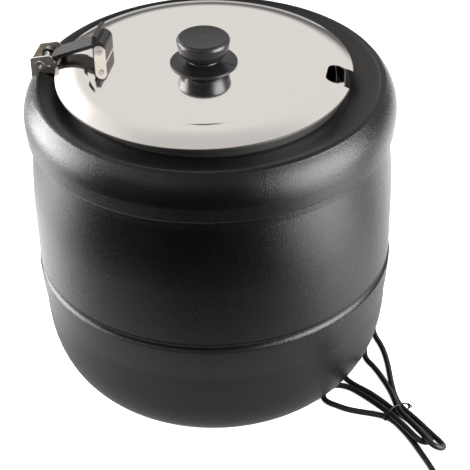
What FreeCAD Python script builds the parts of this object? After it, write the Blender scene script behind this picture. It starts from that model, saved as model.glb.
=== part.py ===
"""Electric soup kettle of about ten litres: hinged lid, lift-out pot, water well, heater, dial and tied cord.

Millimetres, +Z up. The origin is the centre of the footprint on the table. The lid hinge is on -X, the ladle
notch on +X and the control panel between -X and +Y.
"""
import math
import os

import FreeCAD
import Part

# Driving dimensions: outer shell, with the radii set from the shell's and the heights from the ridge's
shell_r = 172.5
ridge_z = 317.0
collar_r = shell_r
collar_z = ridge_z - 29.6
ridge_r = shell_r - 13.1
lid_r = ridge_r - 23.0
pot_flange_r = lid_r - 11.6
ledge_r = pot_flange_r + 4.2
collar_bore_r = pot_flange_r - 4.8
shoulder_r = shell_r - 3.5
shoulder_z = ridge_z - 12.3
hem_r = shell_r - 1.0
hem_round = 1.8
hem_z = ridge_z - 44.8
ledge_z = ridge_z - 8.0
sheet = 1.2
wall_top_z = hem_z + 13.8
neck_r = shell_r - 6.3
neck_z = hem_z - 10.2
barrel_r = shell_r - 1.5
barrel_z = neck_z - 62.0
groove_half = 5.0
groove_depth = 2.2
drum_r = shell_r - 0.5
seam_z = 96.4
groove_z = seam_z + 38.1
seam_r = shell_r - 3.1
seam_step = 0.6
rim_lap = 9.0
bowl_bottom_z = 2.0
bowl_bottom_r = shell_r - 64.5
bowl_power = 2.5
bowl_opening_r = bowl_bottom_r - 12.0

# Base
plate_r = bowl_bottom_r - 5.0
plate_t = 1.2
foot_r = 11.0
foot_screw_r = 2.0
foot_place_r = bowl_opening_r - 16.0
foot_count = 4
plate_screw_count = 6
plate_screw_r = 1.5
plate_screw_place_r = (bowl_opening_r + plate_r) / 2

# Pot and water well
pot_t = 0.8
pot_r = collar_bore_r - pot_t - 3.7
pot_corner = 12.0
pot_rim_round = 1.6
pot_seat_gap = 0.3
well_r = pot_r + 11.5
well_t = 0.8
well_floor_z = 60.8
pot_floor_z = well_floor_z + 11.2
pot_rim_z = ledge_z + 10.5
well_lip_r = collar_bore_r + 1.5
gasket_t = 1.2

# Lid and knob
lid_shift = -5.0
lid_t = 0.8
lid_crown_z = ridge_z + 14.2
lid_flat_z = lid_crown_z - 0.5
lid_flat_r = lid_r - 30.4
lid_bead = 0.4
lid_bead_w = 3.0
lid_edge_z = lid_crown_z - 7.2
lid_swell = 1.3
lid_rim_z = lid_edge_z - 1.6
notch_r = lid_r - 23.4
notch_w = 31.0
notch_corner = 8.0
knob_skirt_r = 31.0
knob_skirt_t = 1.4
knob_waist_r = 14.2
knob_waist_h = 4.6
knob_cap_r = 24.5
knob_cap_h = 21.5
knob_h = 26.0
knob_dish = 1.2
knob_screw_r = 2.5
knob_insert_r = 5.0
knob_insert_h = 14.0
knob_washer_r = 7.0
knob_washer_t = 1.0

# Hinge, as distances from the kettle's axis along -X and heights
pivot_s = ridge_r - 2.9
pivot_z = ridge_z + 5.6
hinge_rivet_r = 3.2
hinge_rivet_bore = 2.5
pin_fit = 0.05
knuckle_r = 4.7
bracket_half = 14.6
bracket_t = 1.5
bracket_bend = 3.0
cheek_out_s = ridge_r + 9.1
cheek_bend_s = ridge_r + 4.9
cheek_nose_s = lid_r - lid_shift
cheek_in_s = cheek_nose_s + 2.0
cheek_nose_z = ridge_z + 9.5
cheek_out_z = ridge_z + 8.0
cheek_low_top_z = ridge_z + 13.0
cheek_top_s = ridge_r - 13.4
cheek_top_z = ridge_z + 17.2
cheek_corner = 4.0
stop_pin_s = ridge_r - 11.2
stop_pin_z = ridge_z + 4.4
stop_pin_r = 2.0
arm_half = 10.5
arm_t = 3.5
arm_ear_t = 1.7
arm_start_s = pivot_s - 9.5
arm_start_z = ridge_z + 13.2
arm_end_s = lid_r - 30.9
arm_end_z = lid_crown_z + 15.8
block_half = 12.9
block_in_s = arm_end_s - 12.1
block_top_z = arm_end_z + 4.5
block_round = 7.0
lip_out_s = arm_end_s - 1.1
lip_in_s = arm_end_s - 5.3
lip_top_z = arm_end_z + 10.4
ear_t = 1.5
ear_gap = 0.2
ear_r = 5.3
ear_top_z = arm_end_z + 1.0
lip_low_z = ear_top_z + 0.8
lid_plate_t = 1.5
lid_pin_r = 2.5
lid_pin_z = arm_end_z - 6.0
rivet_r = 2.0

# Heater and controls
heater_r = 80.0
heater_t = 6.0
element_r = 58.0
element_w = 8.0
element_h = 8.0
clamp_r = 70.0
clamp_t = 1.5
stud_r = 3.0
nut_h = 5.0
panel_w = 72.0
panel_h = 44.0
panel_z = 55.0
panel_y = shell_r
panel_margin = 7.0
panel_screw_r = 1.4
panel_screw_len = 18.0
panel_az = 135.0
dial_r = 21.0
dial_grip_r = 17.0
dial_t = 16.0
dial_gap = 0.6
spindle_r = 3.0
neck_bush_r = 5.0
thermostat_w = 34.0
thermostat_d = 24.0
thermostat_h = 26.0
thermostat_y = shell_r - 16.5
lamp_r = 4.0
fit = 0.1

# Cord and plug
cord_d = 5.8
gland_az = 70.0
gland_z = 28.0
gland_shank_r = 7.0
gland_flange_r = 10.0
gland_flange_out = 6.0
relief_len = 24.0
relief_tip_r = 4.4
hank_h = 2.6 * cord_d
plug_r = 18.5
plug_len = 34.0
plug_tail_r = 8.0
plug_pin_r = 2.4
plug_pin_len = 19.0
plug_pin_pitch = 19.0

os.makedirs("parts", exist_ok=True)
V = FreeCAD.Vector
UP = V(0, 0, 1)
nodes = {}


def line(a, b):
    return Part.LineSegment(V(a[0], 0, a[1]), V(b[0], 0, b[1])).toShape()


def arc(a, m, b):
    return Part.Arc(V(a[0], 0, a[1]), V(m[0], 0, m[1]), V(b[0], 0, b[1])).toShape()


def curve(points):
    spline = Part.BSplineCurve()
    spline.interpolate([V(r, 0, z) for r, z in points])
    return spline.toShape()


def spin(edges):
    """Turn a closed outline of (radius, height) edges about the Z axis."""
    face = Part.Face(Part.Wire(Part.__sortEdges__(edges)))
    return face.revolve(V(), UP, 360)


def spin_polygon(points):
    closed = points + points[:1]
    return spin([line(a, b) for a, b in zip(closed, closed[1:])])


def ring(r_in, r_out, z0, z1):
    return spin_polygon([(r_in, z0), (r_out, z0), (r_out, z1), (r_in, z1)])


def rod(start, direction, radius, length):
    return Part.makeCylinder(radius, length, start, direction)


def block(x0, x1, y0, y1, z0, z1):
    return Part.makeBox(x1 - x0, y1 - y0, z1 - z0, V(x0, y0, z0))


def hexagon(centre, direction, flats, height, bore):
    """Hexagon nut along a direction, with its bore."""
    corners = []
    for k in range(7):
        a = math.radians(60 * k)
        corners.append(V(flats / math.sqrt(3) * math.cos(a), flats / math.sqrt(3) * math.sin(a), 0))
    nut = Part.Face(Part.makePolygon(corners)).extrude(V(0, 0, height))
    nut = nut.cut(Part.makeCylinder(bore, height))
    nut.Placement = FreeCAD.Placement(centre, FreeCAD.Rotation(UP, direction))
    return nut


def screw(seat, inward, head_r, head_h, shank_r, shank_len):
    """Pan-head screw: the head stands on the seat, the shank goes inward."""
    head = rod(seat, inward * -1, head_r, head_h)
    return head.fuse(rod(seat, inward, shank_r, shank_len)).removeSplitter()


def around(count, radius, z, first=0.0):
    steps = [math.radians(first + 360.0 * k / count) for k in range(count)]
    return [V(radius * math.cos(a), radius * math.sin(a), z) for a in steps]


def turned(shape, degrees):
    """Turn a shape that was built along +X to another side of the kettle."""
    shape.rotate(V(), UP, degrees)
    return shape


def edges_at(shape, **place):
    """Edges of a shape whose two ends both lie at the given x, y or z."""
    found = []
    for edge in shape.Edges:
        ends = [vertex.Point for vertex in edge.Vertexes]
        if all(abs(getattr(end, axis) - value) < 0.01 for end in ends for axis, value in place.items()):
            found.append(edge)
    return found


def side_slab(points, half_width):
    """Slab across the hinge, from (distance, height) points on the -X side."""
    closed = [V(-s, -half_width, z) for s, z in points + points[:1]]
    return Part.Face(Part.makePolygon(closed)).extrude(V(0, 2 * half_width, 0))


# Top collar: ledge for the pot, dished ring, ridge, round shoulder and turned-in hem
def collar_edges(t):
    """Upper outline of the collar, moved into the sheet by t."""
    bore = (collar_bore_r, ledge_z - t)
    ledge = (ledge_r, ledge_z - t)
    slope = (ridge_z - ledge_z) / (ridge_r - ledge_r)
    rise = (ridge_r - 4, ridge_z - 4 * slope - t)
    top = (ridge_r - 0.5, ridge_z - 0.3 - t)
    fall = (ridge_r + 3 - 0.5 * t, ridge_z - 2.6 - 0.8 * t)
    mid = (shoulder_r - 0.85 * t, shoulder_z - 0.5 * t)
    wide = (collar_r - t, collar_z)
    hem = (hem_r - t, hem_z + t)
    edges = [line(bore, ledge), line(ledge, rise), arc(rise, top, fall), arc(fall, mid, wide)]
    edges.append(line(wide, hem))
    return edges, bore, hem


outer, bore_top, _ = collar_edges(0.0)
inner, bore_low, hem_inside = collar_edges(sheet)
hem_out = (hem_r, hem_z + hem_round)
hem_under = (hem_r - hem_round, hem_z)
hem_corner = (hem_r - 0.293 * hem_round, hem_z + 0.293 * hem_round)
hem_lip = (neck_r + fit, hem_z)
hem_lip_up = (neck_r + fit, hem_z + sheet)
outer[-1] = line((collar_r, collar_z), hem_out)
hem_turn = [arc(hem_out, hem_corner, hem_under), line(hem_under, hem_lip), line(hem_lip, hem_lip_up),
            line(hem_lip_up, hem_inside)]
collar = spin(outer + hem_turn + inner + [line(bore_low, bore_top)])


# Body wall: necked under the collar, barrel shaped, with a pressed groove
def wall_edges(t):
    top = (neck_r - t, wall_top_z)
    neck = (neck_r - t, neck_z)
    swell = ((neck_r + barrel_r) / 2 + 1.1 - t, (neck_z + barrel_z) / 2)
    belly = (barrel_r - t, barrel_z)
    groove_up = (barrel_r - t, groove_z + groove_half)
    groove_in = (barrel_r - groove_depth - t, groove_z)
    groove_low = (drum_r - t, groove_z - groove_half)
    drum = ((drum_r + seam_r) / 2 + 0.4 - t, (groove_z - groove_half + seam_z) / 2)
    seam = (seam_r - t, seam_z)
    edges = [line(top, neck), arc(neck, swell, belly), line(belly, groove_up),
             arc(groove_up, groove_in, groove_low), arc(groove_low, drum, seam)]
    return edges, top, seam


wall_out, wall_top_out, seam_out = wall_edges(0.0)
wall_in, wall_top_in, seam_in = wall_edges(sheet)
wall = spin(wall_out + wall_in + [line(wall_top_out, wall_top_in), line(seam_out, seam_in)])
wall_cap = ring(neck_r - sheet, neck_r, wall_top_z, wall_top_z + sheet)
nodes["body_wall"] = wall.fuse(wall_cap).removeSplitter()


# Base bowl: rounded pan whose rim laps inside the body wall
def bowl_curve(offset):
    """Rounded-square profile of the bowl from its seam down to its flat, moved out by offset."""
    high_r = seam_r - seam_step + offset
    low_z = bowl_bottom_z - offset
    points = []
    for k in range(11):
        a = math.radians(9 * k)
        out = abs(math.cos(a)) ** (2 / bowl_power)
        down = math.sin(a) ** (2 / bowl_power)
        points.append((bowl_bottom_r + (high_r - bowl_bottom_r) * out, seam_z - (seam_z - low_z) * down))
    points[-1] = (bowl_bottom_r, low_z)
    return points


def bowl_radius(z):
    u = (seam_z - z) / (seam_z - bowl_bottom_z)
    return bowl_bottom_r + (seam_r - seam_step - bowl_bottom_r) * (1 - u ** bowl_power) ** (1 / bowl_power)


def bowl_solid(offset):
    points = bowl_curve(offset)
    return spin([curve(points), line(points[-1], (0, points[-1][1])), line((0, points[-1][1]), (0, seam_z)),
                 line((0, seam_z), points[0])])


bowl_skin = bowl_solid(0.0)
bowl_core = bowl_solid(-sheet)
rim_r = seam_r - sheet - fit
bowl = bowl_skin.cut(bowl_core).cut(Part.makeCylinder(bowl_opening_r, seam_z))
bowl = bowl.fuse(ring(rim_r - sheet, rim_r, seam_z, seam_z + rim_lap))
bowl = bowl.fuse(ring(rim_r - sheet, seam_r - seam_step - fit, seam_z - sheet, seam_z)).removeSplitter()

# Base plate inside the bowl's opening, with its feet and screws
plate_z = bowl_bottom_z + sheet
base_plate = Part.makeCylinder(plate_r, plate_t, V(0, 0, plate_z))
plate_screws = []
plate_screw_len = 4 * plate_screw_r
for seat in around(plate_screw_count, plate_screw_place_r, bowl_bottom_z, 30.0):
    plate_screws.append(screw(seat, UP, 2 * plate_screw_r, plate_screw_r, plate_screw_r, plate_screw_len))
    hole = rod(seat, UP, plate_screw_r + fit, plate_screw_len)
    base_plate = base_plate.cut(hole)
    bowl = bowl.cut(hole)
feet = []
foot_screws = []
foot_recess = 1.5
foot_screw_len = plate_z + plate_t + foot_screw_r
for seat in around(foot_count, foot_place_r, foot_recess, 45.0):
    hole = rod(seat, UP, foot_screw_r + fit, foot_screw_len)
    pocket = rod(V(seat.x, seat.y, 0), UP, 2.25 * foot_screw_r, foot_recess)
    foot = Part.makeCone(foot_r - 1.0, foot_r, plate_z, V(seat.x, seat.y, 0), UP)
    feet.append(foot.cut(hole).cut(pocket))
    foot_screws.append(screw(seat, UP, 2 * foot_screw_r, foot_screw_r / 2, foot_screw_r, foot_screw_len))
    base_plate = base_plate.cut(hole)

# Water well with its inward lip, and the gasket between lip and collar
lip_z = ledge_z - sheet - gasket_t
well = ring(well_r, well_r + well_t, well_floor_z - well_t, lip_z)
well = well.fuse(Part.makeCylinder(well_r, well_t, V(0, 0, well_floor_z - well_t)))
nodes["water_well"] = well.fuse(ring(well_lip_r, well_r, lip_z - well_t, lip_z)).removeSplitter()
nodes["well_gasket"] = ring(well_lip_r, well_r + well_t, lip_z, ledge_z - sheet)

# Soup pot: drawn pot with a flange that seats on the collar's ledge
pot_out = pot_r + pot_t
pot_low = pot_floor_z - pot_t


def bend(r, z, radius):
    """Mid point of a rounded corner between a wall at r and a floor at z."""
    short = radius * (1 - math.sqrt(0.5))
    return (r - short, z + short)


def crest(r, z, side, radius):
    """Mid point of a rounded corner between a wall at r and a top at z, on the given side of the wall."""
    short = radius * (1 - math.sqrt(0.5))
    return (r + side * short, z - short)


flange_in = pot_flange_r - pot_t
rim_bend = pot_rim_round - pot_t
nodes["soup_pot"] = spin([
    line((0, pot_low), (pot_out - pot_corner, pot_low)),
    arc((pot_out - pot_corner, pot_low), bend(pot_out, pot_low, pot_corner), (pot_out, pot_low + pot_corner)),
    line((pot_out, pot_low + pot_corner), (pot_out, pot_rim_z - pot_rim_round)),
    arc((pot_out, pot_rim_z - pot_rim_round), crest(pot_out, pot_rim_z - pot_t, 1, rim_bend),
        (pot_out + rim_bend, pot_rim_z - pot_t)),
    line((pot_out + rim_bend, pot_rim_z - pot_t), (flange_in - rim_bend, pot_rim_z - pot_t)),
    arc((flange_in - rim_bend, pot_rim_z - pot_t), crest(flange_in, pot_rim_z - pot_t, -1, rim_bend),
        (flange_in, pot_rim_z - pot_rim_round)),
    line((flange_in, pot_rim_z - pot_rim_round), (flange_in, ledge_z + pot_seat_gap)),
    line((flange_in, ledge_z + pot_seat_gap), (pot_flange_r, ledge_z + pot_seat_gap)),
    line((pot_flange_r, ledge_z + pot_seat_gap), (pot_flange_r, pot_rim_z - pot_rim_round)),
    arc((pot_flange_r, pot_rim_z - pot_rim_round), crest(pot_flange_r, pot_rim_z, -1, pot_rim_round),
        (pot_flange_r - pot_rim_round, pot_rim_z)),
    line((pot_flange_r - pot_rim_round, pot_rim_z), (pot_r + pot_rim_round, pot_rim_z)),
    arc((pot_r + pot_rim_round, pot_rim_z), crest(pot_r, pot_rim_z, 1, pot_rim_round),
        (pot_r, pot_rim_z - pot_rim_round)),
    line((pot_r, pot_rim_z - pot_rim_round), (pot_r, pot_floor_z + pot_corner)),
    arc((pot_r, pot_floor_z + pot_corner), bend(pot_r, pot_floor_z, pot_corner),
        (pot_r - pot_corner, pot_floor_z)),
    line((pot_r - pot_corner, pot_floor_z), (0, pot_floor_z)),
    line((0, pot_floor_z), (0, pot_low))])

# Lid: low dome, rounded shoulder and plain skirt, cut away at the ladle notch
def lid_solid(t):
    """Everything under the lid's upper surface, moved in by t."""
    crown = (0, lid_crown_z - t)
    flat = (lid_flat_r, lid_flat_z - t)
    half = (lid_flat_r / 2, lid_flat_z + 0.75 * (lid_crown_z - lid_flat_z) - t)
    bead = (lid_flat_r + lid_bead_w, lid_flat_z + lid_bead - t)
    edge = (lid_r - t, lid_edge_z - 0.7 * t)
    drop = math.atan2(bead[1] - edge[1], edge[0] - bead[0])
    swell = ((bead[0] + edge[0]) / 2 + lid_swell * math.sin(drop),
             (bead[1] + edge[1]) / 2 + lid_swell * math.cos(drop))
    rim = (lid_r - t, lid_rim_z)
    return spin([arc(crown, half, flat), line(flat, bead), arc(bead, swell, edge), line(edge, rim),
                 line(rim, (0, lid_rim_z)), line((0, lid_rim_z), crown)])


notch = block(notch_r, lid_r + 10, -notch_w / 2, notch_w / 2, lid_rim_z - 5, lid_crown_z + 5)
notch_edges = edges_at(notch, x=notch_r, y=notch_w / 2) + edges_at(notch, x=notch_r, y=-notch_w / 2)
notch = notch.makeFillet(notch_corner, notch_edges)
lid_form = lid_solid(0.0)
lid = lid_form.cut(lid_solid(lid_t)).cut(notch)
lid.translate(V(lid_shift, 0, 0))
lid_form.translate(V(lid_shift, 0, 0))

# Knob in two mouldings, grip and skirt, with brass insert, screw and washer
knob_z = lid_crown_z
knob_top = knob_z + knob_h
skirt_edge = (knob_skirt_r - 0.5, knob_z + knob_skirt_t)
skirt_foot = (knob_waist_r + 1.6, knob_z + knob_waist_h - 1.4)
waist = (knob_waist_r, knob_z + knob_waist_h)
skirt_mid = ((skirt_edge[0] + skirt_foot[0]) / 2, knob_z + knob_skirt_t + 0.4)
waist_mid = (knob_waist_r + 0.4, knob_z + knob_waist_h - 1.1)
cap_low = (knob_cap_r - 0.9, knob_z + knob_cap_h - 4.0)
bowl_mid = (knob_waist_r + 0.66 * (cap_low[0] - waist[0]), waist[1] + 0.38 * (cap_low[1] - waist[1]))
cap_wide = (knob_cap_r, knob_z + knob_cap_h)
cap_edge = (knob_cap_r - 2.7, knob_top)
dish_edge = (0.72 * cap_edge[0], knob_top - 0.6 * knob_dish)
dish_mid = (0.4 * cap_edge[0], knob_top - knob_dish)
cap_round = (knob_cap_r - 0.7, knob_z + 0.35 * knob_cap_h + 0.65 * knob_h)
knob = spin([
    line((0, knob_z), (knob_skirt_r, knob_z)),
    line((knob_skirt_r, knob_z), (knob_skirt_r, knob_z + knob_skirt_t - 0.5)),
    line((knob_skirt_r, knob_z + knob_skirt_t - 0.5), skirt_edge),
    arc(skirt_edge, skirt_mid, skirt_foot),
    arc(skirt_foot, waist_mid, waist),
    arc(waist, bowl_mid, cap_low),
    line(cap_low, cap_wide),
    arc(cap_wide, cap_round, cap_edge),
    line(cap_edge, dish_edge),
    line(dish_edge, dish_mid),
    line(dish_mid, (0, knob_top - knob_dish)),
    line((0, knob_top - knob_dish), (0, knob_z))])
knob = knob.cut(Part.makeCylinder(knob_insert_r, knob_insert_h, V(0, 0, knob_z)))
insert = Part.makeCylinder(knob_insert_r, knob_insert_h, V(0, 0, knob_z))
knob_shank_len = 10.0
knob_seat = V(0, 0, lid_crown_z - lid_t - 0.1 - knob_washer_t)
nodes["knob_insert"] = insert.cut(Part.makeCylinder(knob_screw_r, knob_shank_len, V(0, 0, knob_z)))
knob_screw = screw(knob_seat, UP, 4.5, 3.0, knob_screw_r, knob_shank_len)
washer = Part.makeCylinder(knob_washer_r, knob_washer_t, knob_seat)
washer = washer.cut(rod(knob_seat, UP, knob_screw_r + fit, knob_washer_t))
below_waist = Part.makeCylinder(knob_skirt_r + 1, knob_waist_h, V(0, 0, knob_z))
knob_skirt = knob.common(below_waist)
knob_grip = knob.cut(below_waist)
for name, shape in (("knob", knob_grip), ("knob_skirt", knob_skirt), ("knob_screw", knob_screw),
                    ("knob_washer", washer)):
    shape.translate(V(lid_shift, 0, 0))
    nodes[name] = shape
nodes["knob_insert"].translate(V(lid_shift, 0, 0))
lid = lid.cut(Part.makeCylinder(knob_screw_r + fit, 12, V(lid_shift, 0, lid_crown_z - 8)))

# Rim bracket of the hinge: two cheeks and an outer wall of bent strip, cut to sit on the collar
collar_low = [line((collar_r, collar_z), (0, collar_z)), line((0, collar_z), (0, ledge_z)),
              line((0, ledge_z), (collar_bore_r, ledge_z))]
collar_form = spin(collar_edges(0.0)[0][:4] + collar_low)
cheek_low_z = ridge_z - 11.0
floor_z = ridge_z + 0.2
cheek_inside = bracket_half - bracket_t
outline = side_slab([(cheek_out_s, cheek_low_z), (cheek_out_s, cheek_out_z), (cheek_bend_s, cheek_low_top_z),
                     (cheek_top_s, cheek_top_z), (cheek_nose_s, cheek_nose_z), (cheek_in_s, floor_z),
                     (cheek_in_s, cheek_low_z)], bracket_half)
outline = outline.makeFillet(cheek_corner, edges_at(outline, x=-cheek_top_s, z=cheek_top_z))
corner_edges = []
for y in (-bracket_half, bracket_half):
    corner_edges += edges_at(outline, x=-cheek_out_s, y=y)
outline = outline.makeChamfer(bracket_bend, corner_edges)
high = cheek_top_z + 1
past_end = cheek_in_s - 20
hollow = side_slab([(cheek_out_s - bracket_t, floor_z), (cheek_out_s - bracket_t, cheek_out_z - 0.6),
                    (cheek_bend_s - 1.2, cheek_low_top_z - 0.8), (cheek_bend_s - 1.2, high),
                    (past_end, high), (past_end, floor_z)], cheek_inside)
low_side = floor_z - bracket_t
under = block(-cheek_out_s + bracket_t, -past_end, -cheek_inside, cheek_inside, cheek_low_z - 1, low_side)
clear_inside = block(-ridge_r + 6, -past_end, -bracket_half - 1, bracket_half + 1, cheek_low_z - 1, low_side)
bracket = outline.cut(hollow).cut(under).cut(collar_form).cut(clear_inside)
across = V(0, 1, 0)
pivot = V(-pivot_s, 0, pivot_z)
rivet_flange = 1.0
hinge_rivets = []
for side in (across, across * -1):
    inner = pivot + side * (arm_half - arm_ear_t)
    seat = pivot + side * (arm_half + fit)
    cheek_face = pivot + side * bracket_half
    body = rod(inner, side, hinge_rivet_r, bracket_half - arm_half + arm_ear_t)
    shoulder = rod(seat, side, knuckle_r, cheek_inside - arm_half - fit)
    flange = rod(cheek_face, side, knuckle_r, rivet_flange)
    bore = rod(inner, side, hinge_rivet_bore, bracket_half - arm_half + arm_ear_t + rivet_flange)
    hinge_rivets.append(body.fuse([shoulder, flange]).removeSplitter().cut(bore))
    bracket = bracket.cut(rod(cheek_face, side * -1, hinge_rivet_r, bracket_t))
nodes["hinge_rivets"] = Part.makeCompound(hinge_rivets)
stop_at = V(-stop_pin_s, -bracket_half - 1.0, stop_pin_z)
stop_pin = rod(stop_at, across, stop_pin_r, 2 * bracket_half + 2.0)
bracket = bracket.cut(stop_pin)
nodes["stop_pin"] = stop_pin
bracket_screws = []
screw_seats = [V(-ridge_r + 1.5, y, floor_z) for y in (-6.0, 6.0)]
for seat in screw_seats:
    bracket_screws.append(screw(seat, UP * -1, 2.2, 0.9, 1.5, 9.0))
    hole = rod(seat, UP * -1, 1.5 + fit, 9.0)
    bracket = bracket.cut(hole)
    collar = collar.cut(hole)
nodes["hinge_bracket"] = bracket
nodes["bracket_screws"] = Part.makeCompound(bracket_screws)
nodes["top_collar"] = collar

# Hinge arm: two ears on the hollow rivets, sloping plate, and the block and lip over the lid's bracket
lid_plate_z = lid_crown_z - 0.3
run = arm_start_s - arm_end_s
climb = arm_end_z - arm_start_z
length = math.hypot(run, climb)
low_x = arm_t * climb / length
low_z = arm_t * run / length
plate = side_slab([(arm_start_s, arm_start_z), (arm_end_s, arm_end_z), (arm_end_s - low_x, arm_end_z - low_z),
                   (arm_start_s - low_x, arm_start_z - low_z)], arm_half)
block_low_z = lid_plate_z + lid_plate_t + ear_gap
head = side_slab([(block_in_s, block_low_z), (arm_end_s, block_low_z), (arm_end_s, arm_end_z),
                  (lip_out_s, block_top_z), (block_in_s, block_top_z)], block_half)
head = head.makeFillet(block_round, edges_at(head, x=-block_in_s, z=block_top_z))
lip = side_slab([(arm_end_s, lip_low_z), (lip_out_s, lip_top_z), (lip_in_s, lip_top_z), (lip_in_s, lip_low_z)],
                bracket_half)
arm = plate.fuse([head, lip])
ear_high = pivot_z + knuckle_r - 0.2
ear_low = stop_pin_z + stop_pin_r + 0.5
ear_back_s = arm_start_s - 6.0
ear_points = [(pivot_s, ear_high), (arm_start_s, ear_high), (arm_start_s, arm_start_z - 0.5),
              (ear_back_s, arm_start_z + 6.0 * climb / run - 0.5), (ear_back_s, ear_high),
              (arm_start_s - 2.0, ear_low), (pivot_s, ear_low)]
for y in (-arm_half, arm_half - arm_ear_t):
    closed = [V(-s, y, z) for s, z in ear_points + ear_points[:1]]
    ear = Part.Face(Part.makePolygon(closed)).extrude(across * arm_ear_t)
    arm = arm.fuse([ear, rod(V(-pivot_s, y, pivot_z), across, knuckle_r, arm_ear_t)])
arm = arm.removeSplitter()
arm = arm.cut(rod(pivot - across * bracket_half, across, hinge_rivet_r + pin_fit, 2 * bracket_half))

# Bracket on the lid: base strip with two round-topped ears, riveted down, and its pin
ear_s = block_in_s + ear_r
ear_in = block_half + ear_gap
ear_out = ear_in + ear_t
strip = block(-ear_s - ear_r, -ear_s + ear_r, -ear_out, ear_out, lid_flat_z - 1, lid_plate_z + lid_plate_t)
ears = []
for side in (-1, 1):
    y0 = ear_in if side > 0 else -ear_out
    post = block(-ear_s - ear_r, -ear_s + ear_r, y0, y0 + ear_t, lid_flat_z - 1, ear_top_z - ear_r)
    ears.append(post.fuse(rod(V(-ear_s, y0, ear_top_z - ear_r), across, ear_r, ear_t)))
lid_bracket = strip.fuse(ears).removeSplitter().cut(lid_form)
lid_pin_start = V(-ear_s, -ear_out - 1.2, lid_pin_z)
lid_pin_len = 2 * ear_out + 2.4
lid_pin = rod(lid_pin_start, across, lid_pin_r, lid_pin_len)
arm = arm.cut(lid_pin)
lid_bracket = lid_bracket.cut(lid_pin)
nodes["lid_pin"] = lid_pin
rivets = []
rivet_pocket = 2.2
for y in (-6.0, 6.0):
    seat = V(-ear_s, y, lid_plate_z + lid_plate_t)
    rivet = screw(seat, UP * -1, rivet_r + 1.5, 1.2, rivet_r, 7.0)
    rivets.append(rivet)
    hole = rod(seat, UP * -1, rivet_r, 8.0)
    lid_bracket = lid_bracket.cut(hole)
    lid = lid.cut(hole)
    arm = arm.cut(rod(V(-ear_s, y, block_low_z), UP, rivet_r + 2.2, rivet_pocket))
nodes["lid_bracket_rivets"] = Part.makeCompound(rivets)
nodes["lid_bracket"] = lid_bracket
nodes["hinge_arm"] = arm
nodes["lid"] = lid

# Heater under the well: plate, ring element, clamp, stud and nut, and the thermal cutout
heater_top = well_floor_z - well_t
heater_low = heater_top - heater_t
element_low = heater_low - element_h
clamp_low = element_low - clamp_t
stud_len = element_h + clamp_t + nut_h + 2.0
nodes["heater_plate"] = Part.makeCylinder(heater_r, heater_t, V(0, 0, heater_low))
nodes["heating_element"] = ring(element_r - element_w / 2, element_r + element_w / 2, element_low, heater_low)
nodes["heater_clamp"] = ring(stud_r + fit, clamp_r, clamp_low, element_low)
nodes["heater_stud"] = Part.makeCylinder(stud_r, stud_len, V(0, 0, heater_low - stud_len))
nodes["heater_nut"] = hexagon(V(0, 0, clamp_low - nut_h), UP, 10.0, nut_h, stud_r)
cutout_at = V(30, 0, heater_low - 6.0)
nodes["thermal_cutout"] = Part.makeCylinder(8.0, 6.0, cutout_at)
bulb_r = 3.0
bulb = Part.makeCylinder(bulb_r, 60.0, V(well_r + well_t + bulb_r + fit, 0, 90.0))
nodes["thermostat_bulb"] = turned(bulb, panel_az)

# Control panel on the bowl, with thermostat, dial and pilot lamp, built on +Y and turned to its side
panel_turn = panel_az - 90.0
outward = V(0, 1, 0)
dial_at = V(0, panel_y, panel_z)
panel = block(-panel_w / 2, panel_w / 2, bowl_bottom_r, panel_y, panel_z - panel_h / 2, panel_z + panel_h / 2)
panel_sides = []
for side in (-panel_w / 2, panel_w / 2):
    for height in (panel_z - panel_h / 2, panel_z + panel_h / 2):
        panel_sides += edges_at(panel, x=side, z=height)
panel = panel.makeFillet(6.0, panel_sides)
panel = panel.makeChamfer(1.5, edges_at(panel, y=panel_y)).cut(bowl_skin)
thermostat = block(-thermostat_w / 2, thermostat_w / 2, thermostat_y - thermostat_d, thermostat_y,
                   panel_z - thermostat_h / 2, panel_z + thermostat_h / 2)
bush_len = panel_y + 3.0 - thermostat_y
bush_at = V(0, thermostat_y, panel_z)
thermostat = thermostat.fuse(rod(bush_at, outward, neck_bush_r, bush_len)).removeSplitter()
spindle_depth = 8.0
spindle_start = V(0, thermostat_y - spindle_depth, panel_z)
spindle_len = spindle_depth + bush_len + 7.0
thermostat = thermostat.cut(rod(spindle_start - outward * 0.5, outward, spindle_r + pin_fit, spindle_len))
nodes["thermostat"] = turned(thermostat, panel_turn)
nodes["thermostat_nut"] = turned(hexagon(dial_at, outward, 14.0, 2.5, neck_bush_r), panel_turn)
spindle = rod(spindle_start, outward, spindle_r, spindle_len)
dial_start = dial_at + outward * dial_gap
dial = rod(dial_start, outward, dial_r, 4.0).fuse(rod(dial_start, outward, dial_grip_r, dial_t))
grip_cut = 40.0
for side in (-1, 1):
    x0 = 5.0 if side > 0 else -5.0 - grip_cut
    grip_side = block(x0, x0 + grip_cut, dial_start.y + 4.0, dial_start.y + dial_t + 1,
                      panel_z - 30, panel_z + 30)
    dial = dial.cut(grip_side)
dial = dial.removeSplitter()
dial_hollow = 4.5
dial = dial.cut(rod(dial_at, outward, 9.5, dial_gap + dial_hollow)).cut(spindle)
nodes["dial"] = turned(dial, panel_turn)
nodes["dial_spindle"] = turned(spindle, panel_turn)
panel = panel.cut(rod(bush_at, outward, neck_bush_r + fit, 40.0))
bowl = bowl.cut(turned(rod(bush_at, outward, neck_bush_r + fit, 40.0), panel_turn))
panel_screws = []
corner_x = panel_w / 2 - panel_margin
corner_z = panel_h / 2 - panel_margin
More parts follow.
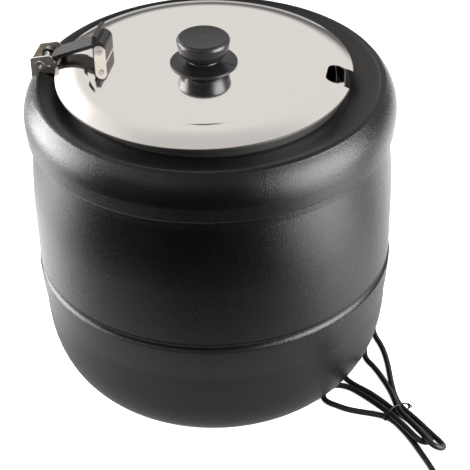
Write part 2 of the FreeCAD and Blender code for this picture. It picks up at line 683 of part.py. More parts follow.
for x, z in ((-corner_x, -corner_z), (corner_x, -corner_z), (-corner_x, corner_z)):
    seat = V(x, panel_y, panel_z + z)
    panel_screws.append(screw(seat, outward * -1, 2 * panel_screw_r, panel_screw_r, panel_screw_r,
                              panel_screw_len))
    hole = rod(seat, outward * -1, panel_screw_r + fit, panel_screw_len)
    panel = panel.cut(hole)
    bowl = bowl.cut(turned(hole, panel_turn))
nodes["control_panel_screws"] = turned(Part.makeCompound(panel_screws), panel_turn)
lamp_at = V(corner_x, panel_y, panel_z + corner_z)
lamp_len = 22.0
lamp_hole = rod(lamp_at, outward * -1, lamp_r + fit, lamp_len)
panel = panel.cut(lamp_hole)
bowl = bowl.cut(turned(lamp_hole, panel_turn))
nodes["pilot_lamp"] = turned(rod(lamp_at - outward * lamp_len, outward, lamp_r, lamp_len), panel_turn)
lens = Part.makeSphere(lamp_r + 1.5, lamp_at).common(rod(lamp_at, outward, lamp_r + 1.5, lamp_r + 1.5))
nodes["pilot_lens"] = turned(lens, panel_turn)
nodes["control_panel"] = turned(panel, panel_turn)

# Terminal block and earth screw on the base plate
deck_z = plate_z + plate_t
block_x = 22.0
block_y = plate_r - 19.0
nodes["terminal_block"] = block(block_x, block_x + 32, block_y - 9, block_y + 5, deck_z, deck_z + 13)
terminals = []
for k in range(3):
    terminals.append(rod(V(block_x + 6 + 10 * k, block_y - 2, deck_z + 13), UP, 2.4, 1.2))
nodes["terminal_screws"] = Part.makeCompound(terminals)
earth_at = V(-20.0, block_y, deck_z)
nodes["earth_screw"] = screw(earth_at, UP * -1, 4.5, 3.0, 2.0, plate_t + 0.8)
base_plate = base_plate.cut(rod(earth_at, UP * -1, 2.0 + fit, plate_t + 1.0))
nodes["base_plate"] = base_plate
nodes["base_plate_screws"] = Part.makeCompound(plate_screws)
nodes["feet"] = Part.makeCompound(feet)
nodes["foot_screws"] = Part.makeCompound(foot_screws)

# Cord gland in the bowl: shank and flange, tapered strain relief, and the nut inside
gland_wall = bowl_radius(gland_z)
flange_x = gland_wall + gland_flange_out
along = V(1, 0, 0)
shank_back = 18.0
gland = rod(V(gland_wall - shank_back, 0, gland_z), along, gland_shank_r, shank_back + gland_flange_out)
flange = rod(V(gland_wall - 8, 0, gland_z), along, gland_flange_r, 8 + gland_flange_out).cut(bowl_skin)
relief = Part.makeCone(gland_shank_r, relief_tip_r, relief_len, V(flange_x, 0, gland_z), along)
gland = gland.fuse([flange, relief]).removeSplitter()
nut_back = 12.0
gland_nut = rod(V(gland_wall - nut_back - 4, 0, gland_z), along, gland_flange_r, nut_back).common(bowl_core)
gland_nut = gland_nut.cut(rod(V(gland_wall - 30, 0, gland_z), along, gland_shank_r, 60))
gland_hole = rod(V(gland_wall - 30, 0, gland_z), along, gland_shank_r + fit, 60)
bowl = bowl.cut(turned(gland_hole, gland_az))
nodes["cord_gland"] = turned(gland, gland_az)
nodes["gland_nut"] = turned(gland_nut, gland_az)
nodes["base_bowl"] = bowl


def tube(name, points, diameter):
    """Round tube along straight runs joined by tangent arcs as large as the runs allow."""
    edges = []
    at = points[0]
    total = 0.0
    radii = []
    for before, corner, after in zip(points, points[1:], points[2:]):
        back = (before - corner).normalize()
        on = (after - corner).normalize()
        turn = math.pi - back.getAngle(on)
        reach = 0.45 * min((before - corner).Length, (after - corner).Length)
        radii.append(reach / math.tan(turn / 2))
        start = corner + back * reach
        end = corner + on * reach
        middle = (back + on).normalize()
        mid = corner + middle * (radii[-1] / math.cos(turn / 2) - radii[-1])
        edges.append(Part.LineSegment(at, start).toShape())
        edges.append(Part.Arc(start, mid, end).toShape())
        total += (start - at).Length + radii[-1] * turn
        at = end
    edges.append(Part.LineSegment(at, points[-1]).toShape())
    total += (points[-1] - at).Length
    path = Part.Wire(edges)
    first = (points[1] - points[0]).normalize()
    section = Part.Wire(Part.makeCircle(diameter / 2, points[0], first))
    solid = path.makePipeShell([section], True, False)
    ideal = math.pi * diameter ** 2 / 4 * total
    print(name, "radii", [round(v) for v in radii], "length", round(total, 1))
    print(name, "volume against section times length", round(solid.Volume / ideal, 4))
    return solid


# Cord: lead from the gland round the body to the tied hank, then the tail to the plug
floor = cord_d / 2 + 0.1
gland_a = math.radians(gland_az)
exit_r = flange_x + relief_len
gland_way = V(math.cos(gland_a), math.sin(gland_a), 0)
exit_point = gland_way * exit_r + V(0, 0, gland_z)
straight_out = 24.0
plug_straight = 20.0
wide = shell_r / 172.5
hank_entry = V(183.6 * wide, -37.0 * wide, floor)
hank_exit = V(227.2 * wide, -142.9 * wide, floor)
lead_points = [exit_point, exit_point + gland_way * straight_out]
for x, y, z in ((86, 210, 19), (106, 211, 8), (125, 199, floor), (140, 178, floor), (150, 154, floor),
                (154, 127, floor), (156, 98, floor), (155, 70, floor), (156, 48, floor), (161, 30, floor),
                (170, 14, floor), (177.5, -9, floor)):
    lead_points.append(V(x * wide, y * wide, z))
lead_points.append(hank_entry)
plug_at = V(322 * wide, -206 * wide, plug_r)
plug_way = V(1, 0, 0)
tail_points = [hank_exit]
for x, y, z in ((234, -155, floor), (244, -172, floor), (257, -187, floor + 1), (272, -198, floor + 6),
                (287, -205, floor + 12.5)):
    tail_points.append(V(x * wide, y * wide, z))
tail_points += [plug_at - plug_way * plug_straight, plug_at]
nodes["cord_lead"] = tube("cord_lead", lead_points, cord_d)
nodes["cord_tail"] = tube("cord_tail", tail_points, cord_d)


def square_on(point, direction, half):
    """Two outline points of a flat that meets a cord end squarely."""
    side = V(-direction.y, direction.x, 0).normalize() * half
    return (point + side, point - side)


lead_way = lead_points[-1] - lead_points[-2]
tail_way = tail_points[1] - tail_points[0]
entry_left, entry_right = square_on(hank_entry, lead_way, 3.4)
exit_left, exit_right = square_on(hank_exit, tail_way, 3.4)
hank_ring = [entry_left]
for x, y in ((197, -64), (226, -95), (245, -112), (248, -128), (240, -138)):
    hank_ring.append(V(x * wide, y * wide, 0))
hank_ring += [exit_left, exit_right]
for x, y in ((213, -128), (190, -99), (155, -92), (122, -90), (111, -72), (120, -53), (131, -4), (133, 26),
             (146, 30), (156, 22), (158, -2), (170, -18), (178, -36)):
    hank_ring.append(V(x * wide, y * wide, 0))
hank_ring.append(entry_right)
hank_ring = [V(p.x, p.y, 0) for p in hank_ring]
hank = Part.Face(Part.makePolygon(hank_ring + hank_ring[:1])).extrude(V(0, 0, hank_h))
nodes["cord_hank"] = hank.cut(bowl_solid(0.6))
tie_at = V(192 * wide, -80 * wide, hank_h)
tie_w = 1.6
tie_t = 0.8
tie_turn = -30.0
tie_end = block(3, 5, -tie_w / 2, tie_w / 2 + 9, tie_t, 2 * tie_t)
tie = block(-10, 10, -tie_w / 2, tie_w / 2, 0, tie_t).fuse(tie_end)
tie.rotate(V(), UP, tie_turn)
tie.translate(tie_at)
nodes["twist_tie"] = tie.removeSplitter()

# Plug on the cord's end: round body lying on the table, with its two pins
plug_body = Part.makeCone(plug_tail_r, plug_r, plug_len * 0.7, plug_at, plug_way)
plug_rim = rod(plug_at + plug_way * plug_len * 0.7, plug_way, plug_r, plug_len * 0.3)
plug_body = plug_body.fuse(plug_rim).removeSplitter()
nodes["plug_body"] = plug_body
pin_base = plug_at + plug_way * plug_len
plug_pins = []
for side in (-1, 1):
    plug_pins.append(rod(pin_base + V(0, side * plug_pin_pitch / 2, 0), plug_way, plug_pin_r, plug_pin_len))
nodes["plug_pins"] = Part.makeCompound(plug_pins)

for name, shape in nodes.items():
    if not shape.isValid():
        print("not valid:", name)
    shape.exportStep("parts/" + name + ".step")
print(len(nodes), "nodes")
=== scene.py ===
# %% [markdown]
# # Electric soup kettle
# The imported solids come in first, as a fixed frame in metres with +Z up. Everything that is added
# later is placed in that frame, so nothing has to be fitted by eye afterwards.

# %% Load the frame
import math

import bmesh
import bpy
from mathutils import Matrix, Vector


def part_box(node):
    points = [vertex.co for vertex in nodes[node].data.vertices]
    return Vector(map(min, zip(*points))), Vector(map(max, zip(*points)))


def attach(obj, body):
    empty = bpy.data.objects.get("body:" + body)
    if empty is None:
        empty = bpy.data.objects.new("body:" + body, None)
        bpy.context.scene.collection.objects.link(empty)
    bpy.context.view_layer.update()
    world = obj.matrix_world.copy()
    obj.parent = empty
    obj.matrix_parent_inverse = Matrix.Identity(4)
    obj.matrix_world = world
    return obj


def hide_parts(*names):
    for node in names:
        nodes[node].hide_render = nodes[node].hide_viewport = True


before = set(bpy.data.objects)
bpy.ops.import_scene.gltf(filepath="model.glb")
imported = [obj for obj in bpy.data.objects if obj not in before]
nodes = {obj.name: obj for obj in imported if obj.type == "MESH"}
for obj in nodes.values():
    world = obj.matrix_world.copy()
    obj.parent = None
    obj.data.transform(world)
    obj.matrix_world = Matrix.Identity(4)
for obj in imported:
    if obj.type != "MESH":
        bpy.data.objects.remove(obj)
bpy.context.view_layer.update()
MM = 0.001

# %% [markdown]
# ## Camera
# A product photo like this one is taken from above with a long lens, so the ellipses of lid and base
# keep nearly the same shape. The camera could be aimed with a Track To constraint, but a matrix built
# from its three axes also carries the small roll of a hand-held frame, so that way was chosen.

# %% Camera
FRAME_PIXELS = 470
FOCAL_PIXELS = 1500.0
TILT = math.radians(35.94)
ROLL = math.radians(-1.22)
TURN = math.radians(11.0)
DISTANCE = 1.4731
AIM = Vector((0, 0, 0.150))
SLIDE = (0.0204, -0.0105)

turn = Matrix.Rotation(TURN, 3, "Z")
look = turn @ Vector((0, math.cos(TILT), -math.sin(TILT)))
level = turn @ Vector((1, 0, 0))
rise = level.cross(look)
right = math.cos(ROLL) * level + math.sin(ROLL) * rise
upward = math.cos(ROLL) * rise - math.sin(ROLL) * level
place = AIM - look * DISTANCE + right * SLIDE[0] + upward * SLIDE[1]

lens = bpy.data.cameras.new("photo_camera")
lens.sensor_fit = "HORIZONTAL"
lens.sensor_width = 36.0
lens.lens = lens.sensor_width * FOCAL_PIXELS / FRAME_PIXELS
lens.clip_start = 0.05
camera = bpy.data.objects.new("photo_camera", lens)
axes = Matrix((right, upward, -look)).transposed()
camera.matrix_world = Matrix.Translation(place) @ axes.to_4x4()
bpy.context.scene.collection.objects.link(camera)
bpy.context.scene.camera = camera
print("camera at", [round(v, 4) for v in place], "lens", round(lens.lens, 1))

# %% [markdown]
# ## Shader arithmetic
# Node trees get long when every sum is typed as nodes and links. This small class wraps one output
# socket, so that a mask can be written as an ordinary Python expression, and `node` makes any other
# node from its type, its settings and its sockets.


# %% A socket that understands sums
class Field:
    """One output socket of a material, usable in Python arithmetic."""

    def __init__(self, tree, socket=None):
        self.tree = tree
        self.socket = socket

    def node(self, kind, settings=None, sockets=None, out=0):
        made = self.tree.nodes.new(kind)
        for name, value in (settings or {}).items():
            if name == "stops":
                ramp = made.color_ramp.elements
                while len(ramp) < len(value):
                    ramp.new(0.5)
                for stop, (at, colour) in zip(ramp, value):
                    stop.position = at
                    stop.color = colour
            else:
                setattr(made, name, value)
        for name, value in (sockets or {}).items():
            if isinstance(value, Field):
                self.tree.links.new(value.socket, made.inputs[name])
            else:
                made.inputs[name].default_value = value
        return Field(self.tree, made.outputs[out])

    def math(self, operation, *values, clamp=False):
        settings = {"operation": operation, "use_clamp": clamp}
        return self.node("ShaderNodeMath", settings, dict(enumerate(values)))

    def __add__(self, other):
        return self.math("ADD", self, other)

    def __radd__(self, other):
        return self.math("ADD", other, self)

    def __sub__(self, other):
        return self.math("SUBTRACT", self, other)

    def __rsub__(self, other):
        return self.math("SUBTRACT", other, self)

    def __mul__(self, other):
        return self.math("MULTIPLY", self, other)

    def __rmul__(self, other):
        return self.math("MULTIPLY", other, self)

    def __truediv__(self, other):
        return self.math("DIVIDE", self, other)

    def __rtruediv__(self, other):
        return self.math("DIVIDE", other, self)

    def __pow__(self, other):
        return self.math("POWER", self, other)

    def step(self, low, high):
        """Smooth 0 to 1 as the value goes from low to high."""
        settings = {"interpolation_type": "SMOOTHSTEP"}
        return self.node("ShaderNodeMapRange", settings, {"Value": self, "From Min": low, "From Max": high})

    def blend(self, first, second):
        """Colour between two colours, by this value."""
        return self.node("ShaderNodeMix", {"data_type": "RGBA"}, {0: self, 6: first, 7: second}, out=2)


def paint(*colour):
    return (*colour, 1.0)


print("shader class ready")


# %% A finish with its shader, and its places on the object
class Finish:
    """A material under construction: its principled shader and the fields its maths starts from."""

    def __init__(self, name, **constants):
        self.material = bpy.data.materials.new(name)
        self.material.use_nodes = True
        self.tree = self.material.node_tree
        self.shader = self.tree.nodes["Principled BSDF"]
        for socket, value in constants.items():
            self.shader.inputs[socket.replace("_", " ")].default_value = value
        start = Field(self.tree)
        self.start = start
        self.spot = start.node("ShaderNodeTexCoord", out=3)
        split = start.node("ShaderNodeSeparateXYZ", sockets={0: self.spot})
        maker = split.socket.node
        self.x, self.y, self.z = (Field(self.tree, socket) for socket in maker.outputs)

    def noise(self, size, detail=2.0, roughness=0.5, stretch=None):
        """Noise whose grains are about size metres across."""
        at = self.spot
        if stretch:
            at = self.start.node("ShaderNodeMapping", sockets={"Vector": at, "Scale": stretch})
        values = {"Vector": at, "Scale": 1.0 / size, "Detail": detail, "Roughness": roughness}
        return self.start.node("ShaderNodeTexNoise", sockets=values)

    def radius(self, x=0.0, y=0.0):
        return self.start.math("SQRT", (self.x - x) ** 2.0 + (self.y - y) ** 2.0)

    def feed(self, socket, value):
        self.tree.links.new(value.socket, self.shader.inputs[socket])

    def relief(self, height, depth, strength=1.0):
        sockets = {"Height": height, "Distance": depth, "Strength": strength}
        self.feed("Normal", self.start.node("ShaderNodeBump", sockets=sockets))


def dress(finish, *names):
    """Give a finish to CAD nodes."""
    for name in names:
        mesh = nodes[name].data
        mesh.materials.clear()
        mesh.materials.append(finish.material)
        for face in mesh.polygons:
            face.material_index = 0
    print(finish.material.name, "on", ", ".join(names))


# %% [markdown]
# ## Powder coat
# The collar, the wall and the bowl are pressed steel with a baked black powder coat. Fine powder melts
# into small rounded pebbles, so the surface is black with a soft, grainy shine. An image of the grain
# would need unwrapping, so two sizes of noise in object space make the relief instead. The dished ring
# inside the ridge is worn smoother by the lid and by wiping, and the relief fades out there.

# %% Powder coat
COAT = paint(0.0013, 0.0013, 0.0015)
COAT_PALE = paint(0.0022, 0.0022, 0.0025)
RING_R = (0.150, 0.158)
RING_Z = (0.304, 0.308)

coat = Finish("powder_coat", IOR=1.5, Specular_IOR_Level=0.30)
pebbles = coat.noise(0.0011, detail=1.0)
fine = coat.noise(0.0006, detail=0.0)
patches = coat.noise(0.035, detail=2.0)
worn = (1.0 - coat.radius().step(*RING_R)) * coat.z.step(*RING_Z)
grain = (pebbles * 0.7 + fine * 0.3) * (1.0 - worn * 0.85)
coat.feed("Base Color", patches.blend(COAT, COAT_PALE))
coat.feed("Roughness", 0.23 + patches * 0.04 + pebbles * 0.06 + worn * 0.12)
coat.relief(grain, 0.00055, 0.6)
dress(coat, "top_collar", "body_wall", "base_bowl")

# %% [markdown]
# ## Polished steel
# The lid and the pot are stainless steel, buffed almost to a mirror. A perfect mirror looks drawn, so
# the steel gets a trace of buffing haze in its roughness and a very slow waviness, which bends the
# reflections the way pressed sheet does. The buffing wheel never reaches the upright outer edge, so a
# mask by radius leaves that as dull as it was drawn. The same mask darkens its colour as painted shade
# of the gap between lid, pot and collar.

# %% Polished steel
STEEL = paint(0.80, 0.78, 0.76)
# The two edge colours are darkened as painted shade of the gap under the lid and round the pot's flange.
DRAWN_SHADE = paint(0.12, 0.118, 0.115)
HEM_SHADE = paint(0.25, 0.245, 0.24)


def buffed(name, node, edge_shade_colour, edge_rough):
    """Mirror steel for a round pressing whose outermost, upright edge is left as dull as it was drawn and
    darkened as painted shade.
    """
    lowest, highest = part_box(node)
    edge = (highest[1] - lowest[1]) / 2
    metal = Finish(name, Metallic=1.0)
    haze = metal.noise(0.020, detail=3.0)
    wave = metal.noise(0.060, detail=1.0)
    rub = metal.noise(0.0012, detail=2.0, stretch=(1.0, 0.12, 1.0))
    upright = metal.z.step(highest[2] - 0.0010, highest[2] - 0.0020)
    # Upright outer edge: rougher, as drawn steel, and darker in colour as painted shade.
    dull_shaded_edge = metal.radius(lowest[0] + edge).step(edge - 0.0007, edge - 0.0002) * upright
    metal.feed("Base Color", dull_shaded_edge.blend(STEEL, edge_shade_colour))
    metal.feed("Roughness", 0.045 + haze * 0.030 + rub * 0.015 + dull_shaded_edge * edge_rough)
    metal.relief(wave, 0.00025, 0.35)
    dress(metal, node)


buffed("lid_steel", "lid", HEM_SHADE, 0.30)
buffed("pot_steel", "soup_pot", DRAWN_SHADE, 0.45)

# %% [markdown]
# ## Plain steel, brass and aluminium
# Pins, screws, the two hinge brackets and the inner fittings are plain bright metal. They are small or
# hidden, so one recipe with turned marks serves them all: only colour and base roughness differ.


# %% Plain metals
def bright_metal(name, colour, rough):
    metal = Finish(name, Metallic=1.0)
    marks = metal.noise(0.0009, detail=2.0, stretch=(1.0, 1.0, 0.15))
    stain = metal.noise(0.012, detail=2.0)
    pale = paint(*(min(1.0, c * 1.12) for c in colour[:3]))
    metal.feed("Base Color", stain.blend(colour, pale))
    metal.feed("Roughness", rough + marks * 0.12)
    metal.relief(marks, 0.00005, 0.3)
    return metal


plain = bright_metal("plain_steel", paint(0.56, 0.55, 0.54), 0.24)
brass = bright_metal("turned_brass", paint(0.70, 0.52, 0.24), 0.26)
cast = bright_metal("cast_aluminium", paint(0.62, 0.62, 0.63), 0.42)
pressed = bright_metal("pressed_steel", paint(0.80, 0.77, 0.72), 0.24)
dress(plain, "hinge_rivets", "stop_pin", "lid_pin", "lid_bracket_rivets", "bracket_screws")
dress(plain, "base_plate", "base_plate_screws", "foot_screws", "knob_screw", "knob_washer", "water_well")
dress(plain, "heating_element", "heater_clamp", "heater_stud", "heater_nut", "thermal_cutout")
dress(plain, "thermostat", "thermostat_bulb", "thermostat_nut", "dial_spindle")
dress(plain, "control_panel_screws", "plug_pins")
dress(brass, "knob_insert", "terminal_screws", "earth_screw")
dress(cast, "heater_plate")
dress(pressed, "hinge_bracket", "lid_bracket")

# %% [markdown]
# ## Moulded plastics and rubber
# The knob and the dial are pressed from black phenolic, which is hard and glossy. The control panel is
# a satin moulding, the arm is black enamel, and the cord, the plug and the feet are soft compounds.


# %% Moulded plastics
def moulding(name, colour, rough, relief, size, **constants):
    plastic = Finish(name, **constants)
    cloud = plastic.noise(0.018, detail=2.0)
    skin = plastic.noise(size, detail=1.0)
    pale = paint(*(min(1.0, c * 1.35 + 0.002) for c in colour[:3]))
    plastic.feed("Base Color", cloud.blend(colour, pale))
    plastic.feed("Roughness", rough + cloud * 0.05 + skin * 0.03)
    plastic.relief(skin, relief, 0.35)
    return plastic


BLACK = paint(0.008, 0.008, 0.009)


def pressed_phenolic(name):
    return moulding(name, BLACK, 0.27, 0.00004, 0.004, Specular_IOR_Level=0.42)


phenolic = pressed_phenolic("black_phenolic")
enamel = moulding("black_enamel", BLACK, 0.20, 0.00004, 0.003)
satin = moulding("satin_black", paint(0.022, 0.022, 0.023), 0.36, 0.00008, 0.0011)
white = moulding("white_nylon", paint(0.74, 0.73, 0.70), 0.35, 0.00005, 0.002)
flex = moulding("cord_sheath", paint(0.005, 0.005, 0.005), 0.34, 0.00004, 0.0016, Specular_IOR_Level=0.30)
rubber = moulding("foot_rubber", paint(0.028, 0.028, 0.028), 0.62, 0.00010, 0.0010)
silicone = moulding("pale_silicone", paint(0.66, 0.65, 0.61), 0.50, 0.00005, 0.0015)
lens_red = moulding("red_lens", paint(0.55, 0.02, 0.012), 0.10, 0.00002, 0.003, Coat_Weight=0.4)
dress(phenolic, "knob", "dial")
dress(enamel, "hinge_arm")
dress(satin, "control_panel", "cord_gland", "gland_nut")
dress(white, "pilot_lamp", "terminal_block")
dress(flex, "cord_lead", "cord_hank", "cord_tail", "twist_tie", "plug_body")
dress(rubber, "feet")
dress(silicone, "well_gasket")
dress(lens_red, "pilot_lens")

# %% [markdown]
# ## Mould line of the knob skirt
# A skirt pressed in two mould halves keeps a hairline where they met. It is far thinner than a bevel
# could show, so it is a narrow mask along one radius that lowers the relief and dulls the gloss.

# %% Mould line of the knob skirt
LINE_ANGLE = math.radians(-8.0)
LINE_HALF = 0.0008
LINE_START = (0.008, 0.010)
skirt_low, skirt_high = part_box("knob_skirt")
knob_x = (skirt_low[0] + skirt_high[0]) / 2

skirt = pressed_phenolic("skirt_phenolic")
outward = (skirt.x - knob_x) * math.cos(LINE_ANGLE) + skirt.y * math.sin(LINE_ANGLE)
sideways = skirt.y * math.cos(LINE_ANGLE) - (skirt.x - knob_x) * math.sin(LINE_ANGLE)
line = skirt.start.math("ABSOLUTE", sideways).step(LINE_HALF, LINE_HALF / 3) * outward.step(*LINE_START)
skirt.feed("Roughness", 0.29 + line * 0.5)
skirt.relief(1.0 - line, 0.0004, 0.9)
dress(skirt, "knob_skirt")

# %% [markdown]
# ## Cord
# The mains cord leaves the gland on the far side, runs round the bowl, is folded into a loose hank held
# by a wire tie and ends in its plug. A cord is one smooth line, so it is a single NURBS curve with a
# round bevel. Its control points are the route's own points: on the table for most of the way, lifted
# by one cord where strands cross at the tie.

# %% Cord
CORD_D = 0.0058
EXIT = (63.6, 174.8, 28.0)
FLOOR = 3.0
LEAD = [(71.8, 197.3, 28), (86, 210, 19), (106, 211, 8), (125, 199), (140, 178), (150, 154), (154, 127),
        (156, 98), (155, 70), (156, 48), (160, 31.5), (169.5, 15.5), (177.3, -8)]
FIRST_FOLD = [(183.6, -37), (188.6, -55.5), (194, -68), (200.3, -76), (208.3, -83.6), (217.5, -93),
              (226.6, -103.5), (239.4, -116.7), (242.3, -123.5, 4.2), (239.4, -129.5, 8),
              (232.8, -131, 11.8), (226.9, -126.6, 13), (221.3, -117, 12), (212.7, -106.2, 11),
              (203.5, -94.9, 10.5), (195.2, -84.3, 9.5), (190.2, -70.2, 8.5), (185.2, -55.4, 6),
              (177.3, -37.7), (165.3, -18.3), (153.8, -5.5)]
FAR_BEND = [(152, 9), (151, 20), (146.5, 26), (139, 26), (134.5, 19), (133.5, 8), (135, -8), (134, -24),
            (135, -37)]
SECOND_FOLD = [(147.8, -47.8), (158.2, -53.3), (168.6, -60), (179.2, -69), (187.9, -76.7), (197.6, -84),
               (206.6, -91), (215, -98.5), (226.7, -110), (229.3, -116.5, 3.9), (226.3, -122.3, 6.5),
               (219.9, -123.9, 9.1), (214.2, -120, 10), (209.8, -114.2, 9.5), (203.5, -107, 9.5),
               (195.5, -98, 9), (185.6, -87.8, 8), (174.5, -76.8, 6), (163.8, -65.2), (152, -57),
               (143.4, -52.2), (134.5, -50.4)]
NEAR_BEND = [(127.7, -51.7), (121.2, -57.4), (118.8, -65.4), (120.4, -73), (126.5, -78.1)]
LAST_RUN = [(134, -80.5), (145, -84.5), (158, -86), (170.4, -86.8), (181, -88), (191.2, -92.8),
            (201.5, -104.5), (211.2, -117.3), (219.7, -131), (227.2, -143)]
TAIL = [(234, -155), (244, -172), (257, -187, 4), (272, -198, 9), (287, -205, 15.5), (302, -206, 18.5),
        (322, -206, 18.5)]


def soft_line(name, points, diameter, finish, sides=6):
    """Round cord along one NURBS curve with these control points, in millimetres."""
    curve = bpy.data.curves.new(name, "CURVE")
    curve.dimensions = "3D"
    curve.bevel_depth = diameter / 2
    curve.bevel_resolution = sides
    curve.resolution_u = 8
    curve.use_fill_caps = True
    spline = curve.splines.new("NURBS")
    spline.points.add(len(points) - 1)
    for knot, spot in zip(spline.points, points):
        height = spot[2] if len(spot) > 2 else FLOOR
        knot.co = (spot[0] * MM, spot[1] * MM, height * MM, 1.0)
    spline.order_u = 3
    spline.use_endpoint_u = True
    curve.materials.append(finish.material)
    piece = bpy.data.objects.new(name, curve)
    bpy.context.scene.collection.objects.link(piece)
    return piece


route = [EXIT] + LEAD + FIRST_FOLD + FAR_BEND + SECOND_FOLD + NEAR_BEND + LAST_RUN + TAIL
cord = soft_line("mains_cord", route, CORD_D, flex)
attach(cord, "kettle")
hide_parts("cord_lead", "cord_hank", "cord_tail")
print("cord points", len(route))

# %% [markdown]
# ## Wire tie
# A short coated wire is wrapped once round the bundle and twisted at its ends. It is another soft line,
# thin and slightly flattened by its height over the strands.

# %% Wire tie
TIE_D = 0.0016
WRAP = [(206.5, -84.5, 13.2), (204.6, -81.5, 14.2), (201.5, -79, 14.6), (196, -81.5, 14.6),
        (191.6, -85.1, 14.5), (187.2, -89.5, 13), (183, -93.2, 9), (181.6, -93.8, 4), (184, -91.8, 1),
        (190, -86.5, 0.9), (198, -79.8, 0.9), (203.5, -76, 2.5), (204.8, -75.6, 7), (203.2, -77, 12),
        (204.6, -79, 14), (208, -82.5, 13.5)]
tie = soft_line("wire_tie", WRAP, TIE_D, flex, sides=3)
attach(tie, "kettle")
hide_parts("twist_tie")
print("tie made")

# %% [markdown]
# ## Table
# The kettle stands on a white sweep, which is white to the camera and still takes the contact shadow.
# A gloss black body is drawn almost wholly by what it mirrors, so the table has its own brightness for
# mirrored rays: pools of light under the two soft boxes, and a dark front, so that the front of the body
# stays black. More lamps could do the same, but they would also burn out the lid.

# %% Table
TABLE_HALF = 6.0
WHITE = paint(1.0, 1.0, 1.0)
CARD = paint(0.86, 0.86, 0.86)
CARD_SHINE = 0.93

scene = bpy.context.scene
scene.view_settings.view_transform = "Standard"

table_mesh = bpy.data.meshes.new("table")
shape = bmesh.new()
bmesh.ops.create_grid(shape, x_segments=1, y_segments=1, size=TABLE_HALF)
shape.to_mesh(table_mesh)
shape.free()
table = bpy.data.objects.new("table", table_mesh)
scene.collection.objects.link(table)
toward = Vector((-look.x, -look.y, 0.0)).normalized()


def along(field, spot, way):
    """Distance of a place along a level direction."""
    return field.node("ShaderNodeVectorMath", {"operation": "DOT_PRODUCT"}, {0: spot, 1: tuple(way)}, out=1)


def light_path(field, name):
    return field.node("ShaderNodeLightPath", out=name)


sheet = bpy.data.materials.new("white_sweep")
sheet.use_nodes = True
sheet.node_tree.nodes.clear()
begin = Field(sheet.node_tree)
place_on_table = begin.node("ShaderNodeNewGeometry", out="Position")
ahead = along(begin, place_on_table, toward)
across = along(begin, place_on_table, level)
apart = begin.math("SQRT", ahead ** 2.0 + across ** 2.0)
print("table made")


# %% Light on the table, for mirrored rays
def pool(forward, sideward, reach):
    """Round pool of light on the table, forward of and beside the middle of the kettle."""
    gap = begin.math("SQRT", (ahead - forward) ** 2.0 + (across - sideward) ** 2.0)
    return gap.step(reach, 0.05)


RIGHT_NEAR, RIGHT_FAR = 2.2, 9.5
LEFT_NEAR, LEFT_FAR = 1.2, 2.4
BACK_RIGHT = 0.9
FAR_BACK, FAR_SIDE, DIM = 0.5, 0.4, 0.02

near = (1.0 - ahead.step(0.24, 0.42)) * (1.0 - apart.step(0.30, 0.50) * ahead.step(-0.20, 0.10))
# Painted shade: under makes the table's light for mirrored rays dimmer close round the kettle.
under = 0.50 + apart.step(0.14, 0.32) * 0.85
right_glow = pool(0.18, 0.50, 0.30) * RIGHT_NEAR + pool(0.36, 0.72, 0.42) * RIGHT_FAR
left_band = across.step(-0.18, -0.30) * ahead.step(0.20, -0.05) * ahead.step(-0.40, -0.10)
left_glow = left_band * (LEFT_NEAR + across.step(-0.40, -0.62) * LEFT_FAR)
back_glow = across.step(0.15, 0.40) * ahead.step(-0.05, -0.30) * BACK_RIGHT
lit = (near * under + right_glow + left_glow + back_glow) * (1.0 - apart.step(1.00, 1.30))
far_sides = begin.math("ABSOLUTE", across).step(0.50, 1.00)
lit = lit + DIM + ahead.step(-0.30, -0.90) * FAR_BACK + far_sides * FAR_SIDE

mirrored = light_path(begin, "Is Glossy Ray")
seen = light_path(begin, "Is Camera Ray") + light_path(begin, "Is Transmission Ray")
card = begin.node("ShaderNodeBsdfDiffuse", sockets={"Color": CARD})
bright = begin.node("ShaderNodeEmission", sockets={"Strength": CARD_SHINE})
glow = begin.node("ShaderNodeEmission", sockets={"Color": lit, "Strength": 1.0})
shade = begin.node("ShaderNodeAddShader", sockets={0: card, 1: bright})
direct = begin.node("ShaderNodeMixShader", sockets={0: seen, 1: card, 2: shade})
both = begin.node("ShaderNodeMixShader", sockets={0: mirrored, 1: direct, 2: glow})
end = sheet.node_tree.nodes.new("ShaderNodeOutputMaterial")
sheet.node_tree.links.new(both.socket, end.inputs["Surface"])
table_mesh.materials.append(sheet)
print("table lit")

# %% [markdown]
# ## Walls
# The world is white to the camera. For mirrored rays it is a room with pale, slightly warm walls, darkest
# low down towards the camera. Higher up that side is grey, so that the lid still looks like steel from
# behind. A picture of a room could do this too, but a few ramps by direction need no file.

# %% Walls
WARM = (1.0, 0.965, 0.935)
WALL, BACK_LEFT, AMBIENT = 0.88, 2.4, 0.30

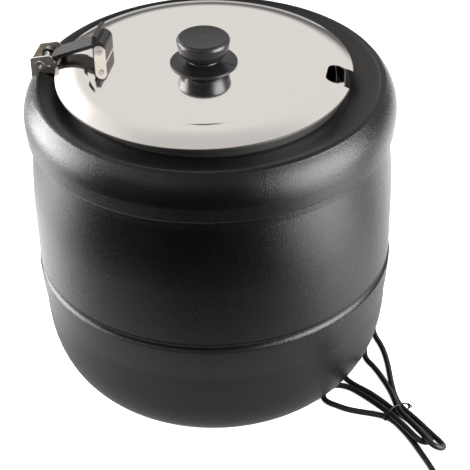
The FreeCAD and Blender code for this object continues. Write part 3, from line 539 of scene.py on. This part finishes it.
world = bpy.data.worlds.new("studio")
scene.world = world
world.use_nodes = True
sky = Field(world.node_tree)
way = sky.node("ShaderNodeTexCoord", out=0)
height = along(sky, way, (0, 0, 1))
front = along(sky, way, toward).step(-0.05, 0.45)
side = along(sky, way, level)
low = height.step(0.30, 0.08)
back_left = side.step(-0.22, -0.50) * (1.0 - height.step(0.50, 0.75) * 0.92) * BACK_LEFT
front_shade = front * (0.88 - height.step(0.30, 0.48) * 0.53)
top_shade = height.step(0.72, 0.95) * 0.25
walls = (WALL + back_left) * (1.0 - front_shade) * (1.0 - low * 0.8) * (1.0 - top_shade)
ambient = AMBIENT * (1.0 - front * 0.8)


def backdrop(level_of_light):
    """Warm white wall of the studio, as bright as the value given."""
    colour = sky.node("ShaderNodeVectorMath", {"operation": "SCALE"}, {0: WARM, "Scale": level_of_light})
    return sky.node("ShaderNodeBackground", sockets={"Color": colour, "Strength": 1.0})


shown = light_path(sky, "Is Camera Ray") + light_path(sky, "Is Transmission Ray")
glossy = light_path(sky, "Is Glossy Ray")
white_back = sky.node("ShaderNodeBackground", sockets={"Color": WHITE, "Strength": 1.0})
room = sky.node("ShaderNodeMixShader", sockets={0: glossy, 1: backdrop(ambient), 2: backdrop(walls)})
studio = sky.node("ShaderNodeMixShader", sockets={0: shown, 1: room, 2: white_back})
world.node_tree.links.new(studio.socket, world.node_tree.nodes["World Output"].inputs["Surface"])
print("walls made")

# %% [markdown]
# ## Soft boxes
# Two large soft boxes stand at the left and the right, a little behind and ahead of the kettle, and give
# the long soft highlights down both sides. Area lamps are used because a point lamp gives a hard spot.

# %% Soft boxes
LAMP_AIM = Vector((0, 0, 0.30))
LAMP_DISTANCE = 1.1


def soft_box(name, degrees, height, size, watts):
    """Lamp at an angle from the direction towards the camera, positive to the right."""
    angle = math.radians(degrees)
    outward = level * math.sin(angle) + toward * math.cos(angle)
    at = outward * LAMP_DISTANCE + Vector((0, 0, height))
    lamp = bpy.data.lights.new(name, "AREA")
    lamp.shape = "RECTANGLE"
    lamp.size, lamp.size_y = size
    lamp.energy = watts
    box = bpy.data.objects.new(name, lamp)
    box.location = at
    box.rotation_euler = (LAMP_AIM - at).to_track_quat("-Z", "Y").to_euler()
    scene.collection.objects.link(box)


soft_box("right_box", 65, 0.47, (0.92, 0.88), 42.0)
soft_box("left_box", -101, 0.40, (0.84, 0.72), 35.0)
print("soft boxes placed")
